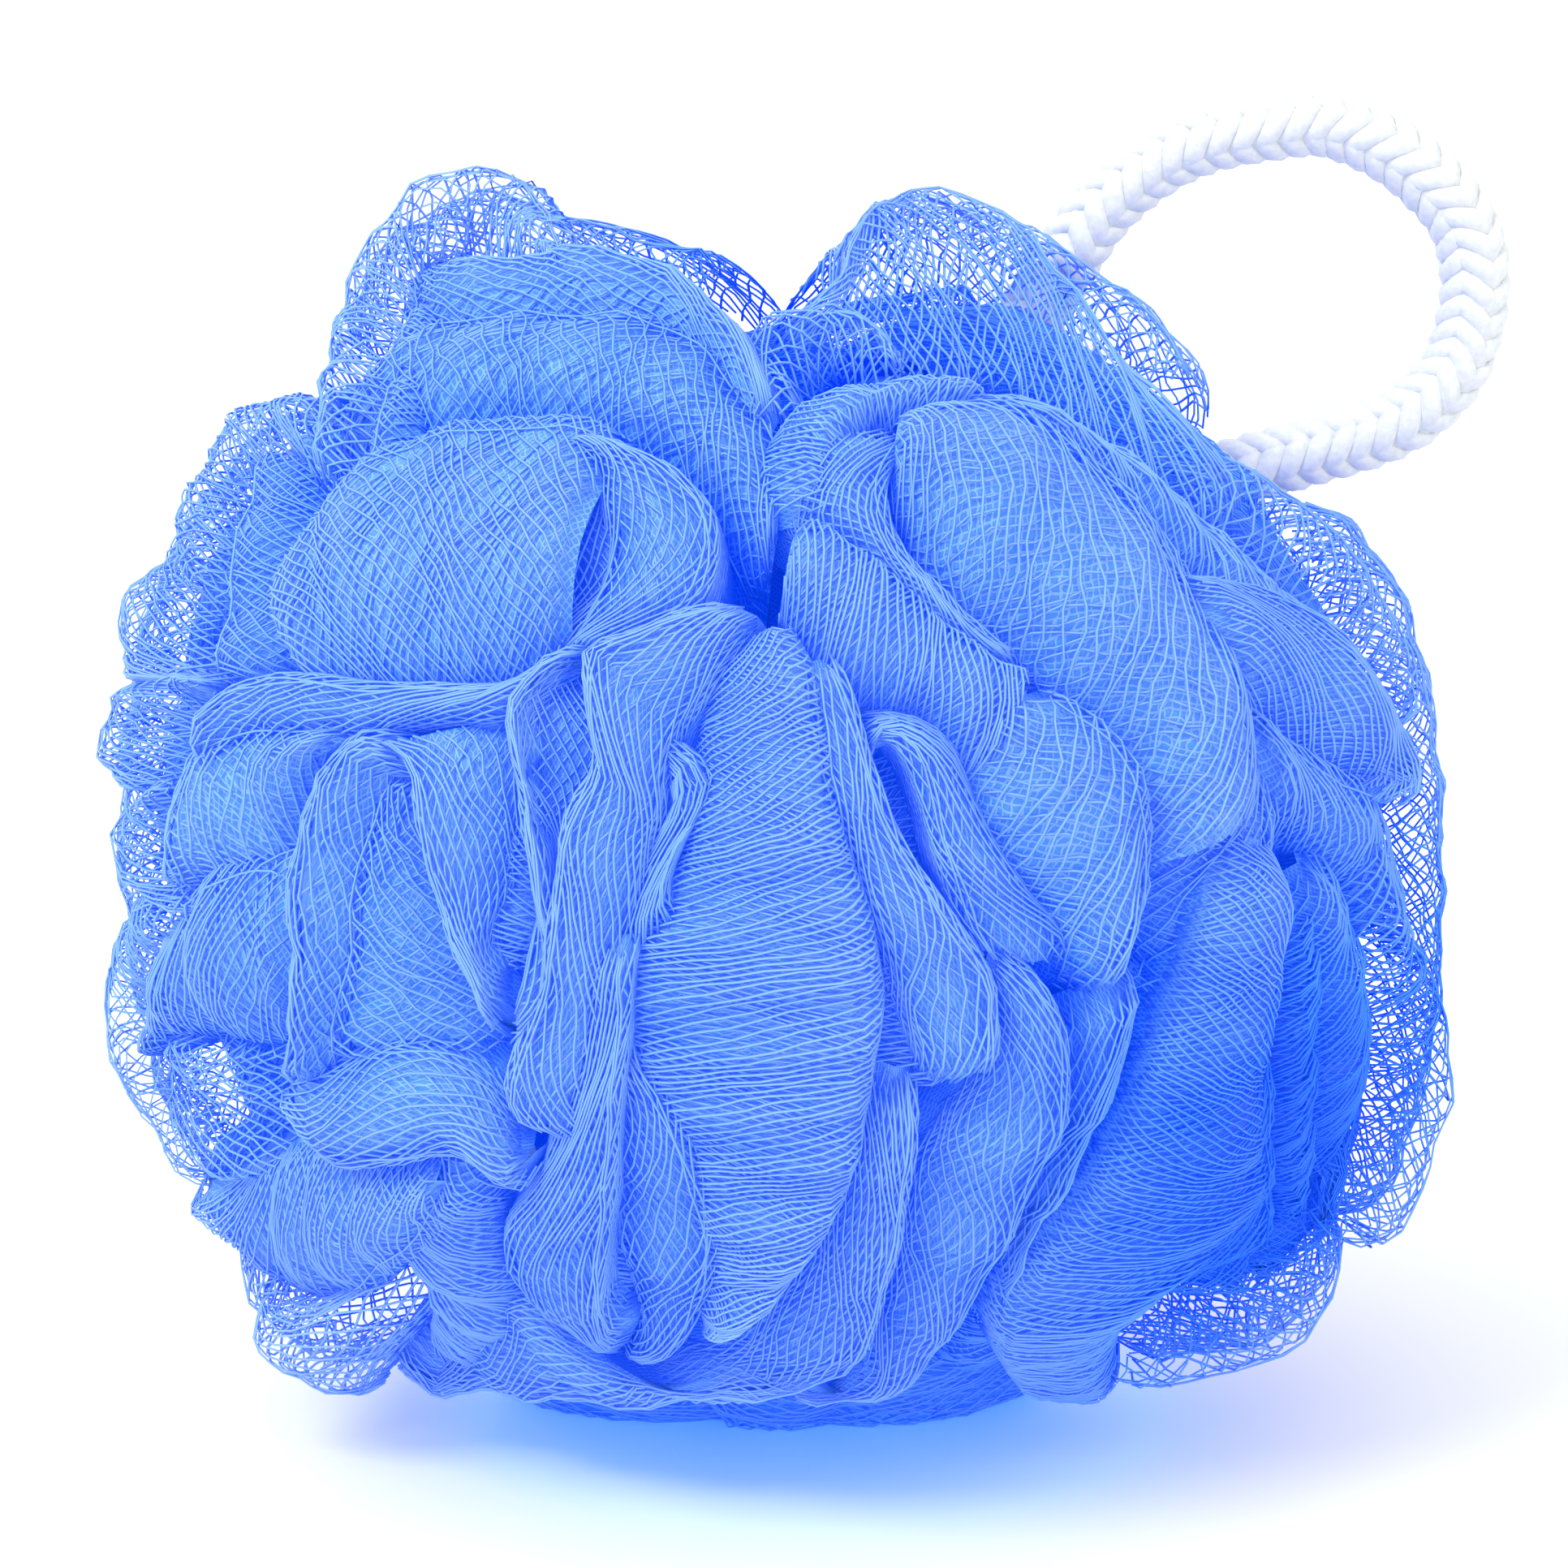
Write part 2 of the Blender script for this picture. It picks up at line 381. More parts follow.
     (1, (13, 43), (21, 45), (29, 43), (34, 37), (37.5, 30.5), (40, 24), (41.5, 18.5), (41.5, 12.5),
      (41.5, 7)),
     (0.995, (12, 39), (12.5, 35), (14.5, 30), (17.5, 25.5), (21.5, 22), (25, 17.5), (28.5, 12.5), (30, 8),
      (30, 2.5))),
    "right_dome_low": ("open", 2,
     (0.995, (42, 11.5), (42.5, 6.5), (42.5, 1.5), (41, -2.5), (38.5, -6), (36.5, -9.5)),
     (0.955, (31.5, 7.5), (31.5, 3.5), (31, 0), (31.5, -3), (33, -7), (35, -11))),
    "dome_arch": ("drawn", 2,
     (0.995, (2, 34), (1, 37.5), (2.5, 42), (6.5, 45.5), (12.5, 47), (19.5, 47.5), (26, 46)),
     (0.985, (7.5, 33.5), (7.5, 37), (8, 40.5), (10.5, 43), (13.5, 44), (16.5, 44.5), (21.5, 44.5))),
    "top_right_lobe": ("veil", 1.5,
     (1, (1.5, 55), (6, 57.5), (11.5, 60.5), (17.5, 67.5), (43, 76.5), (98, 76.5, 1.01), (95, 72.5, 1.02),
      (78.5, 68), (53.5, 58.5), (48, 49.5), (48.5, 43), (51.5, 38), (55.5, 34)),
     (0.94, (4, 53.5), (7.5, 54.5), (12, 54), (16.5, 53), (21, 52.5), (25.5, 52), (31, 52.5), (35, 50.5),
      (37.5, 47.5), (40, 43), (43, 38.5), (46, 34.5), (50, 31))),
    "top_right_small": ("veil", 1.5,
     (0.985, (0.5, 44), (-0.5, 50), (0, 55.5), (4.5, 57), (10, 57), (14.5, 55.5), (17, 51)),
     (0.94, (4, 45), (4, 49.5), (6, 52.5), (8.5, 54), (11, 53), (13.5, 52), (16, 50.5))),
    "right_net": ("veil", 1.5,
     (1, (51.5, 38), (58, 34), (63.5, 29.5), (68, 24.5), (71.5, 18.5), (71, 13), (66.5, 10)),
     (0.95, (45.5, 34.5), (50, 30), (55, 26), (60.5, 22), (65.5, 18.5), (70.5, 15), (74, 11.5))),
    "right_net_inner": ("loose", 2,
     (0.985, (24.5, 46.5), (33, 44), (38.5, 39.5), (43, 34.5), (46.5, 29.5), (50.5, 25.5), (55, 22)),
     (0.95, (31.5, 43), (35, 38.5), (38.5, 33), (41, 28), (43, 23.5), (44.5, 18.5), (46.5, 14.5))),
    "right_tube": ("satin", 3,
     (1.02, (36.5, 26), (43.5, 25), (50, 23), (55, 18.5, 1.03), (60, 14), (62, 10), (59.5, 7.5),
      (56, 5.5, 1.03)),
     (0.985, (41, 17.5), (44.5, 15), (48, 12), (52, 9.5), (55.5, 7.5), (58, 6), (59.5, 5), (60.5, 4))),
    "right_fan": ("loose", 2,
     (1, (42, 15), (46, 11.5), (51, 8), (58, 4.5), (61, -0.5), (64, -6)),
     (0.96, (44.5, 6), (47.5, 3.5), (50.5, 1), (53.5, -2.5), (55.5, -5), (58, -8))),
    "right_edge": ("veil", 2,
     (1.02, (57, 2.5), (59.5, -3), (63, -7), (78.5, -15, 1.03), (77, -19, 1.08), (76, -22.5, 1.11),
      (74.5, -26, 1.13), (73, -30, 1.15), (72, -33, 1.16), (71, -35.5, 1.15), (71.5, -35.5, 1.1)),
     (0.97, (55, 0.5), (54, -4), (56.5, -9), (62, -15), (73, -22.5), (76, -26.5, 0.998),
      (74.5, -29.5, 1.03), (73.5, -32, 1.05), (72.5, -34, 1.07), (72, -35, 1.08), (71.5, -36, 1.08))),
    "right_face": ("loose", 2,
     (1, (48.5, 1.5), (52.5, -4), (57, -10), (63, -17.5), (76, -26.5), (74.5, -30, 1.02), (73, -33, 1.05),
      (71.5, -35.5, 1.08)),
     (0.96, (47, 0), (48.5, -5.5), (51, -12), (54.5, -19.5), (62.5, -28.5), (72, -36.5, 0.987),
      (70, -40, 1.03), (68, -43, 1.08))),
    "right_roll": ("drawn", 2,
     (1.04, (39, 5), (37, -0.5, 1.05), (35.5, -5), (33.5, -10.5, 1.05), (32.5, -15.5), (31.5, -20.5),
      (30, -26), (28, -31.5), (25.5, -36.5), (26.5, -42.5, 1.05), (39.5, -54.5, 1.05), (53.5, -59, 1.09)),
     (1, (43, 3.5), (44.5, -1.5), (45, -7), (45, -12.5), (46, -18), (49, -24.5), (57, -32.5), (58, -39.5),
      (49, -42), (48, -46.5), (59.5, -55, 1.03), (58.5, -55, 1.08))),
    "roll_sheet": ("loose", 1,
     (0.995, (45.5, -15.5), (49, -23), (57, -32), (69.5, -41, 1.03), (67.5, -44, 1.1)),
     (0.98, (42.5, -24), (43, -28.5), (44.5, -34), (47.5, -40), (60.5, -49.5))),
    "roll_right": ("drawn", 1,
     (0.99, (48.5, -1.5), (50.5, -9), (53.5, -17.5), (62.5, -28), (71, -37.5, 1.04), (68.5, -42.5, 1.09)),
     (0.965, (47.5, -3), (48, -10.5), (49, -17), (55.5, -27.5), (70.5, -39.5, 1), (67.5, -43.5, 1.08))),
    "low_right_lobe": ("veil", 2,
     (1.07, (71.5, -35.5, 1.09), (69.5, -38.5, 1.13), (68, -41.5, 1.16), (66, -44, 1.18),
      (64.5, -46.5, 1.17), (63, -49, 1.14), (61, -52, 1.12), (58.5, -54.5, 1.1), (58, -55.5)),
     (0.984, (69, -41.5, 1.06), (68, -43, 1.08), (67, -44.5, 1.07), (66.5, -46, 1.05), (65.5, -47.5, 1.03),
      (65.5, -48.5, 1.01), (64.5, -50, 0.991), (63.5, -51.5), (62, -53, 0.996))),
    "low_right_1": ("ribbon", 1.5,
     (1.01, (27.5, -4.5, 1.02), (28.5, -9, 1.02), (28, -14, 1.02), (27, -19.5), (26, -24), (24, -29),
      (23.5, -35, 1.02), (25, -42.5)),
     (0.985, (24, -8.5), (24.5, -13), (24.5, -18.5), (24.5, -23.5), (23.5, -28), (23, -32.5), (23, -38.5),
      (25, -46.5))),
    "dark_net": ("open", 1,
     (0.985, (38, -6.5), (37, -11.5), (36, -16.5), (35, -22.5), (34, -27.5), (32, -33.5)),
     (0.96, (30.5, -5), (31, -10.5), (30.5, -16), (30.5, -22), (29.5, -27), (28, -33.5))),
    "low_dark": ("loose", 1,
     (0.97, (27.5, -28), (32, -34), (33, -40), (32, -45), (51.5, -61.5, 0.976)),
     (0.96, (24, -29.5), (25, -36), (26, -42), (27.5, -50), (40, -67, 0.962))),
    "top_left_back": ("veil", 2,
     (0.89, (-91, 50, 1.0), (-91, 58, 1.06), (-97, 66, 1.07), (-115, 73, 0.96), (-160, 76)),
     (0.8, (-112, 46, 0.92), (-122, 54, 0.94), (-138, 62, 0.93), (-165, 66, 0.88), (170, 66))),
    "top_right_back": ("veil", 1.5,
     (0.98, (12, 66, 0.97), (38, 77), (104, 78, 0.99), (97, 70, 1.0), (88, 60), (76, 48, 0.96)),
     (0.9, (-178, 78, 0.78), (150, 77, 0.82), (114, 70, 0.87), (106, 60, 0.89), (102, 50), (96, 42))),
    "dome_hollow": ("satin", 0.5,
     (0.965, (-21, 42), (-15.5, 38), (-12.5, 32), (-12.5, 28), (-15, 21)),
     (0.955, (-26, 40), (-20, 36), (-18.5, 31), (-18.5, 27), (-20, 21))),
    "right_valley": ("loose", 1,
     (0.92, (56, 42), (60, 22), (60, 2), (60, -20, 0.94), (60, -44, 0.96)),
     (0.86, (96, 40), (96, 20, 0.88), (96, 0, 0.89), (96, -22, 0.91), (98, -44, 0.94))),
    "right_top_valley": ("loose", 1,
     (0.88, (30, 66, 0.86), (62, 66), (110, 62)),
     (0.9, (50, 36), (74, 36), (100, 34, 0.88))),
    "left_valley": ("loose", 1,
     (0.92, (-58, 48), (-62, 24), (-62, 2), (-62, -20, 0.94), (-62, -44, 0.96)),
     (0.88, (-104, 46), (-104, 22), (-104, 0, 0.89), (-104, -22, 0.91), (-106, -44, 0.94))),
    "top_valley": ("loose", 0.5,
     (0.66, (-17, 53, 0.745), (-41, 72), (-128, 76.5, 0.72), (-160, 63, 0.82)),
     (0.65, (13, 54, 0.75), (34, 74), (136, 79, 0.73), (164, 63, 0.8))),
    "left_side": ("veil", 3,
     (0.94, (-80, 40), (-87, 22, 0.97), (-84, 2, 0.96), (-82, -16, 0.99), (-79, -30, 1.03),
      (-80, -42, 1.02)),
     (0.93, (-100, 44, 0.92), (-108, 24), (-106, 2), (-106, -18, 0.95), (-106, -34, 0.97),
      (-106, -46, 0.98))),
    "left_side_back": ("back", 3,
     (0.96, (-112, 42, 0.93), (-118, 20), (-116, -4), (-118, -34, 0.98)),
     (0.9, (-97, 42, 0.88), (-102, 20), (-101, -4), (-104, -34, 0.93))),
    "right_side": ("veil", 3,
     (0.99, (74, 34, 0.96), (80, 22), (79, 8), (80, -8, 1.01), (79, -20, 1.06), (77, -32, 1.11),
      (76, -38, 1.09)),
     (0.88, (92, 27), (98, 18, 0.9), (99, 4, 0.92), (100, -12, 0.93), (101, -24, 0.96), (102, -34, 0.98),
      (104, -42, 0.99))),
    "right_side_back": ("back", 3,
     (0.88, (112, 36), (117, 18, 0.93), (115, -6, 0.94), (119, -34, 0.98)),
     (0.84, (97, 34), (101, 16, 0.86), (101, -8, 0.88), (104, -34, 0.93))),
    "low_left_back": ("veil", 2,
     (1.06, (-71, -38), (-69, -44, 1.12), (-67, -50, 1.12), (-66, -56)),
     (0.99, (-100, -38, 0.98), (-105, -44), (-110, -52), (-118, -60))),
    "low_right_back": ("veil", 2,
     (1.06, (74, -36, 1.09), (71, -42, 1.14), (68, -48, 1.13), (64, -55)),
     (0.99, (104, -38), (108, -46), (112, -54), (118, -62))),
    "under_left": ("back", 2,
     (0.95, (-55, -58), (-90, -68, 1.08), (-130, -56, 1.02)),
     (0.92, (-20, -62), (-20, -84, 1.02), (-160, -66, 1.0))),
    "under_right": ("back", 2,
     (0.94, (48, -60), (90, -66, 1.08), (130, -56, 1.02)),
     (0.92, (10, -62), (20, -84, 1.02), (165, -66, 1.0))),
    "under_middle": ("back", 2,
     (0.93, (-14, -62), (0, -90, 1.1), (170, -62, 1.02)),
     (0.92, (22, -64), (90, -80, 1.02), (140, -60, 1.0))),
}


def unit(vectors):
    return vectors / np.maximum(np.linalg.norm(vectors, axis=-1, keepdims=True), 1e-9)


def resample(line, count, cut=0.0):
    """Evenly spaced points along a line, without a length cut off at either end."""
    lengths = np.concatenate(((0,), np.cumsum(np.linalg.norm(np.diff(line, axis=0), axis=1))))
    targets = np.linspace(cut, lengths[-1] - cut, count)
    return np.stack([np.interp(targets, lengths, line[:, i]) for i in range(3)], axis=1)


def smooth_line(points, count):
    """Evenly spaced points on the smooth curve through the points."""
    points = np.asarray(points, float)
    padded = np.vstack((2 * points[0] - points[1], points, 2 * points[-1] - points[-2]))
    fine = np.linspace(0, len(points) - 1, count * 4)
    span = np.minimum(fine.astype(int), len(points) - 2)
    part = (fine - span)[:, None]
    before, start, end, after = (padded[span + i] for i in range(4))
    line = 0.5 * (2 * start + (end - before) * part
                  + (2 * before - 5 * start + 4 * end - after) * part ** 2
                  + (3 * start - before - 3 * end + after) * part ** 3)
    return resample(line, count)


def line_length(line):
    return np.linalg.norm(np.diff(line, axis=0), axis=1).sum()


def facing_to(turn, rise):
    """The direction with an azimuth and an elevation in radians."""
    return np.stack((np.sin(turn) * np.cos(rise), -np.cos(turn) * np.cos(rise), np.sin(rise)), axis=-1)


def edge_points(edge):
    """An edge's points in metres."""
    usual_share, *points = edge
    azimuth, elevation, share = np.array([(*point, usual_share)[:3] for point in points], float).T
    facing = facing_to(np.radians(azimuth), np.radians(elevation))
    return BALL_CENTRE + facing * share[:, None] * BALL_RADII


def outline_share(facing):
    """How far the ball reaches in a direction, with the photo's lobes and notch in its outline."""
    angle = np.degrees(np.arctan2(facing[..., 2], facing[..., 0]))
    reach = np.interp(angle, [row[0] for row in OUTLINE], [row[1] for row in OUTLINE])
    sideways = facing[..., 0] ** 2 + facing[..., 2] ** 2
    return 1 + (reach - 1) * sideways


def gather_axes():
    """The way out of the gather behind, and the ways across it and up it."""
    rise = math.radians(BACK_GATHER_ELEVATION)
    return (np.array((0.0, math.cos(rise), math.sin(rise))), np.array((1.0, 0.0, 0.0)),
            np.array((0.0, -math.sin(rise), math.cos(rise))))


def back_edge(number, turn_share, drop):
    """One edge of a back sheet, fanning out and bending from the gather behind."""
    out, across, up = gather_axes()
    bearing = math.pi / 2 + (number + 0.5 + turn_share) * 2 * math.pi / BACK_SHEETS
    bearing += math.radians(BACK_SHIFTS[number % len(BACK_SHIFTS)])
    upwards = (1 + math.sin(bearing)) / 2
    reach = BACK_END_LOW + (BACK_END_HIGH - BACK_END_LOW) * upwards ** 2
    drop = drop - BACK_LIFTS[number % len(BACK_LIFTS)]
    sweep, sway = BACK_BENDS[number % len(BACK_BENDS)]
    points = []
    for place, share in BACK_PROFILE:
        tilt = math.radians(BACK_START + (reach - BACK_START) * place)
        bend = sweep * math.sin(math.pi * place) + sway * math.sin(2 * math.pi * place)
        turn = bearing + math.radians(bend)
        facing = out * math.cos(tilt) + (across * math.cos(turn) + up * math.sin(turn)) * math.sin(tilt)
        points.append(BALL_CENTRE + facing * (share - drop) * outline_share(facing) * BALL_RADII)
    return points


class Sheet:
    """One sheet of netting. A place on it is u along its edges and v from its high edge to its
    low one, in metres. v below 0 is the wall behind the high edge, and v past the width is
    tucked in."""

    def __init__(self, style, bulge, high, low, rng):
        self.spacing, self.slant, self.stray, self.rim, self.hem, self.next_layer = STYLES[style]
        self.bulge = bulge * MM
        self.high = smooth_line(high, EDGE_SAMPLES)
        self.low = smooth_line(low, EDGE_SAMPLES)
        self.middle = (self.high + self.low) / 2
        self.length = line_length(self.middle)
        self.width = np.linalg.norm(self.high - self.low, axis=1).mean()
        self.outward = unit(self.middle - BALL_CENTRE)
        across = self.high - self.low
        across = across - self.outward * (across * self.outward).sum(axis=1, keepdims=True)
        self.away = unit(across)
        self.waves = [(rng.uniform(*length), rng.uniform(*height), rng.uniform(*PHASE_RANGE),
                       rng.uniform(-lean, lean)) for length, height, lean in WAVES]

    def at(self, u, v, lower=0.0):
        """Places on the sheet, lowered towards the middle of the ball."""
        along = np.clip(u / self.length, 0, 1)
        place = along * (EDGE_SAMPLES - 1)
        first = np.minimum(place.astype(int), EDGE_SAMPLES - 2)
        part = (place - first)[..., None]
        high, low, outward, away = (values[first] * (1 - part) + values[first + 1] * part
                                    for values in (self.high, self.low, self.outward, self.away))
        face = np.clip(v / self.width, 0, 1)[..., None]
        relief = 4 * self.bulge * (face * (1 - face))[..., 0]
        for length, height, phase, lean in self.waves:
            relief = relief + np.sin((u + lean * v) / MM / length * 2 * math.pi + phase) * height * MM
        ends = np.clip(np.minimum(along, 1 - along) / END_SHARE, 0, 1)
        relief = relief - END_TUCK * (1 - ends) ** 2 - lower
        rim = self.rim * MM
        behind = np.maximum(-v, 0)
        turn = np.minimum(behind / rim, math.pi / 2)
        relief = relief - rim * (1 - np.cos(turn)) - np.maximum(behind - rim * math.pi / 2, 0)
        tucked = np.maximum(v - self.width, 0)
        sideways = rim * np.sin(turn) - TUCK_INWARDS * tucked
        relief = relief - TUCK_DOWN * tucked
        return high + (low - high) * face + outward * relief[..., None] + away * sideways[..., None]


def clear_of_floor(points, thickness=STRAND_RADIUS):
    """Netting that would lie below the floor is pressed flat on it."""
    height = points[..., 2]
    pressed = thickness + PRESSED_SHARE * np.clip(height, 0, None)
    points[..., 2] = np.where(height < thickness * PRESSED_REACH, pressed, height)
    return points


def put_object(name, data):
    made = bpy.data.objects.new(name, data)
    bpy.context.scene.collection.objects.link(made)
    return made


class Mesh:
    """Gathers the vertices and faces of one piece."""

    def __init__(self):
        self.places, self.quads, self.tris, self.lattice, self.count = [], [], [], [], 0

    def add(self, places, quads, tris=None, lattice=None):
        self.places.append(places)
        self.quads.append(quads + self.count)
        if lattice is not None:
            self.lattice.append(lattice)
        if tris is not None:
            self.tris.append(tris + self.count)
        self.count += len(places)

    def make(self, name, material, slot):
        places = np.concatenate(self.places)
        quads = np.concatenate(self.quads)
        tris = np.concatenate(self.tris) if self.tris else np.zeros((0, 3), int)
        mesh = bpy.data.meshes.new(name)
        mesh.vertices.add(len(places))
        mesh.vertices.foreach_set("co", places.astype(np.float32).ravel())
        mesh.loops.add(quads.size + tris.size)
        corners = np.concatenate((quads.ravel(), tris.ravel())).astype(np.int32)
        mesh.loops.foreach_set("vertex_index", corners)
        mesh.polygons.add(len(quads) + len(tris))
        starts = np.concatenate((np.arange(len(quads)) * 4, quads.size + np.arange(len(tris)) * 3))
        mesh.polygons.foreach_set("loop_start", starts.astype(np.int32))
        mesh.update(calc_edges=True)
        if self.lattice:
            lattice = np.concatenate(self.lattice)[quads.ravel()].astype(np.float32)
            mesh.uv_layers.new(name="lattice").data.foreach_set("uv", lattice.ravel())
        mesh.shade_smooth()
        mesh.materials.append(material)
        made = put_object(name, mesh)
        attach(made, "root")
        return made


def add_tubes(target, lines, valid, normals, width, height, sides=3):
    """Closed tubes round many lines at once. lines is (strands, points, 3), valid marks its points."""
    linked = valid[:, :-1] & valid[:, 1:]
    before, after = np.zeros_like(valid), np.zeros_like(valid)
    before[:, 1:], after[:, :-1] = linked, linked
    used = before | after
    tangent = unit(np.gradient(lines, axis=1))
    aside = unit(np.cross(tangent, normals))
    upward = np.cross(aside, tangent)
    number = np.cumsum(used.ravel()).reshape(used.shape) - 1
    rings = []
    for i in range(sides):
        turn = 2 * math.pi * i / sides
        rings.append(lines + upward * (height * math.cos(turn)) + aside * (width * math.sin(turn)))
    places = np.stack(rings, axis=2)[used].reshape(-1, 3)
    start = number[:, :-1][linked] * sides
    end = number[:, 1:][linked] * sides
    quads = [np.stack((start + i, start + (i + 1) % sides, end + (i + 1) % sides, end + i), axis=1)
             for i in range(sides)]
    opens = number[used & ~before] * sides
    closes = number[used & ~after] * sides
    caps = []
    for i in range(1, sides - 1):
        caps.append(np.stack((opens, opens + i + 1, opens + i), axis=1))
        caps.append(np.stack((closes, closes + i, closes + i + 1), axis=1))
    target.add(places, np.concatenate(quads), np.concatenate(caps))


def add_strand_lines(target, sheet, u, v, lower):
    """Strands along lines of places on a sheet, wherever they are on it and far enough out."""
    inside = (u > 0) & (u < sheet.length) & (v > -WALL_DEPTH) & (v < sheet.width + TUCK_DEPTH)
    lines = clear_of_floor(sheet.at(u, v, lower))
    share = np.linalg.norm((lines - BALL_CENTRE) / BALL_RADII, axis=-1)
    valid = inside & (share > LOWEST_SHARE)
    add_tubes(target, lines, valid, unit(lines - BALL_CENTRE), STRAND_HALF_WIDTH, STRAND_RADIUS)


def add_strands(target, sheet, rng):
    """Both families of strands of the net's lattice, and the strands bunched along the high edge."""
    slant = math.radians(sheet.slant)
    reach = math.hypot(sheet.length, sheet.width + WALL_DEPTH + TUCK_DEPTH) / 2
    s = np.arange(-reach, reach, STRAND_STEP)[None, :]
    count = int(reach / (sheet.spacing * MM))
    index = np.arange(-count, count + 1)[:, None]
    middle = (sheet.width - WALL_DEPTH + TUCK_DEPTH) / 2
    for family in (-1, 1):
        shift = rng.uniform(-STRAND_SHIFT, STRAND_SHIFT, index.shape)
        offset = (index + shift) * sheet.spacing * MM
        phase = rng.uniform(*PHASE_RANGE, index.shape)
        stray = sheet.stray * MM * np.sin(s / MM * rng.uniform(*STRAY_PACE) + phase)
        pace = rng.uniform(*BUNCH_PACE)
        bunch = BUNCH * MM * np.sin(offset / MM * pace + s / MM * BUNCH_DRIFT + family)
        across = offset + stray + bunch
        u = sheet.length / 2 + s * family * math.sin(slant) + across * math.cos(slant)
        v = middle + s * math.cos(slant) - across * family * math.sin(slant)
        add_strand_lines(target, sheet, u, v, -family * STRAND_LAYER)
    along = np.arange(0, sheet.length, STRAND_STEP)[None, :]
    hem = (np.arange(sheet.hem)[:, None] - 0.5) * HEM_SPACING * MM
    wander = HEM_WANDER * MM * np.sin(along / MM * HEM_PACE + rng.uniform(*PHASE_RANGE, hem.shape))
    if sheet.hem:
        add_strand_lines(target, sheet, along + 0 * hem, hem + wander, -2 * STRAND_LAYER)


def grid_quads(near, far):
    """Faces between each column of a grid and the next one."""
    return np.stack((near[:, :-1], far[:, :-1], far[:, 1:], near[:, 1:]), axis=-1).reshape(-1, 4)


def add_layer(target, sheet):
    """The next layer of netting under a sheet's strands, as one open surface."""
    columns = max(6, int(sheet.length / LAYER_STEP))
    rows = max(6, int((sheet.width + WALL_DEPTH + TUCK_DEPTH) / LAYER_STEP))
    start, end = -WALL_DEPTH - LAYER_PAST_WALL, sheet.width + TUCK_DEPTH + LAYER_PAST_TUCK
    u, v = np.meshgrid(np.linspace(0, sheet.length, columns), np.linspace(start, end, rows),
                       indexing="ij")
    places = clear_of_floor(sheet.at(u, v, sheet.next_layer * MM), LAYER_THICKNESS).reshape(-1, 3)
    index = np.arange(columns * rows).reshape(columns, rows)
    slant = math.radians(sheet.slant)
    lattice = [(u * math.cos(slant) - way * v * math.sin(slant)).ravel() / (sheet.spacing * MM)
               for way in (-1, 1)]
    target.add(places, grid_quads(index[:-1], index[1:]), lattice=np.stack(lattice, axis=-1))


class Nodes:
    """The nodes of a new material, with short ways to add more."""

    def __init__(self, name):
        self.material = bpy.data.materials.new(name)
        self.material.use_nodes = True
        self.tree = self.material.node_tree
        self.shader = self.tree.nodes["Principled BSDF"]
        self.place = self.add("TexCoord").outputs["Object"]

    def fill(self, node, values):
        """Gives a node's inputs their values, or links them to other nodes' outputs."""
        for key, value in values.items():
            if isinstance(value, bpy.types.NodeSocket):
                self.tree.links.new(value, node.inputs[key])
            else:
                node.inputs[key].default_value = value

    def add(self, kind, values=None, **settings):
        node = self.tree.nodes.new("ShaderNode" + kind)
        for key, value in settings.items():
            setattr(node, key, value)
        self.fill(node, values or {})
        return node

    def axes(self, vector):
        return self.add("SeparateXYZ", {0: vector}).outputs

    def math(self, operation, *values):
        return self.add("Math", dict(enumerate(values)), operation=operation).outputs[0]

    def fade(self, value, ends, to_ends=(0.0, 1.0)):
        """One range of values brought to another, and cut off at its ends."""
        values = {"Value": value, "From Min": ends[0], "From Max": ends[1],
                  "To Min": to_ends[0], "To Max": to_ends[1]}
        return self.add("MapRange", values).outputs["Result"]

    def noise(self, scale, detail=2.0):
        values = {"Vector": self.place, "Scale": scale, "Detail": detail}
        return self.add("TexNoise", values).outputs["Fac"]

    def ramp(self, value, places, colours):
        node = self.add("ValToRGB", {0: value})
        elements = node.color_ramp.elements
        stops = [(place, (*colour, 1)) for place, colour in zip(places, colours)]
        elements[0].position, elements[0].color = stops[0]
        elements[1].position, elements[1].color = stops[-1]
        for place, colour in stops[1:-1]:
            elements.new(place).color = colour
        return node.outputs["Color"]

    def relief(self, height, strength):
        values = {"Strength": strength, "Distance": 0.0002, "Height": height}
        return self.add("Bump", values).outputs[0]

    def finish(self, values):
        self.fill(self.shader, values)
        return self.material

    def lightness(self):
        """How light the blue is: lighter on the outer folds, deeper inside and low at the right."""
        share = self.place
        for operation, operand in (("SUBTRACT", BALL_CENTRE), ("DIVIDE", BALL_RADII)):
            share = self.add("VectorMath", {0: share, 1: operand}, operation=operation).outputs[0]
        share = self.add("VectorMath", {0: share}, operation="LENGTH").outputs["Value"]
        share = self.math("MULTIPLY_ADD", self.noise(PATCH_SCALE), PATCH_DEPTH, share)
        axes = self.axes(self.place)
        shade = self.math("MULTIPLY", self.fade(axes["X"], SHADE_RIGHTWARDS),
                          self.fade(axes["Z"], SHADE_DOWNWARDS))
        return self.fade(self.math("MULTIPLY_ADD", shade, SHADE_DEPTH, share), BLUE_SHARES)


def strand_material():
    """Satin blue plastic strand."""
    nodes = Nodes("net_strand")
    return nodes.finish({
        "Base Color": nodes.ramp(nodes.lightness(), BLUE_STOPS, STRAND_BLUES),
        "Roughness": nodes.fade(nodes.noise(scale=900), (0.3, 0.7), (0.40, 0.60)),
        "Specular IOR Level": 0.35, **PASSED_LIGHT})


